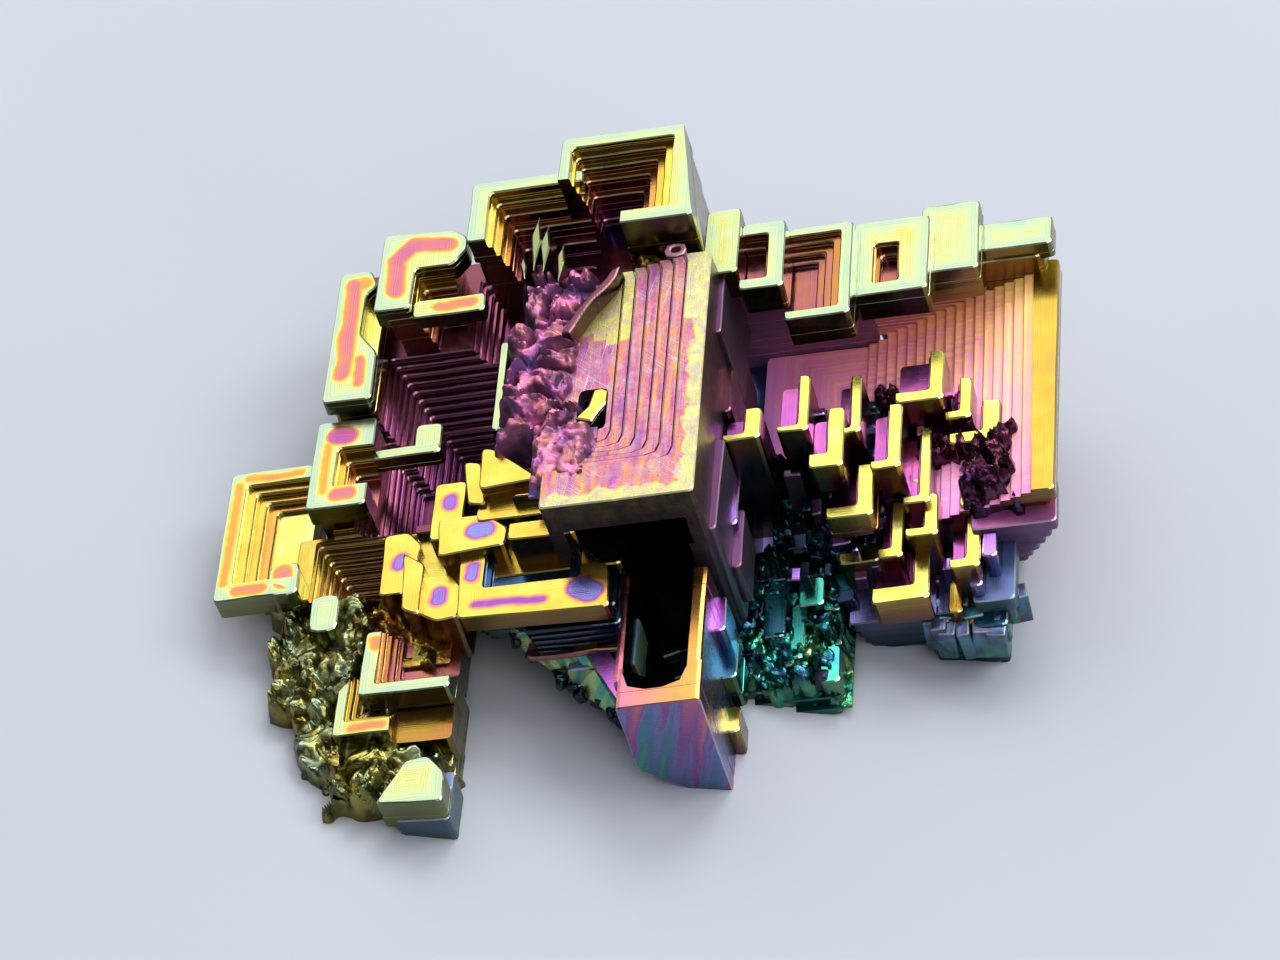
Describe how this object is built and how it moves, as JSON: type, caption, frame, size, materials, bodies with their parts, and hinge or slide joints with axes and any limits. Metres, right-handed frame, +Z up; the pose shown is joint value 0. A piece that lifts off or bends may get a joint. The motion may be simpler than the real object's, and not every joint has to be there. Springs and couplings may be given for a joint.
{
  "type": "bismuth crystal",
  "caption": "Intergrown cluster of bismuth hopper crystals with stepped square funnels and an iridescent oxide film, lying on its lowest corners.",
  "frame": {"origin": "bottom centre of the bounding box, on the surface that the cluster rests on", "axes": "+Z up from the resting surface, +X along the row of plates to the right of the cluster, +Y towards the highest plate at the back; the cluster is longest along X and lowest along Z"},
  "size_m": [0.0468, 0.0402, 0.0156],
  "materials": {
    "bismuth": "mirror-bright bismuth under an iridescent oxide film, pale gold to orange, magenta, violet and teal"
  },
  "bodies": {
    "root": {"bismuth_crystal": "bismuth"}
  },
  "joints": []
}
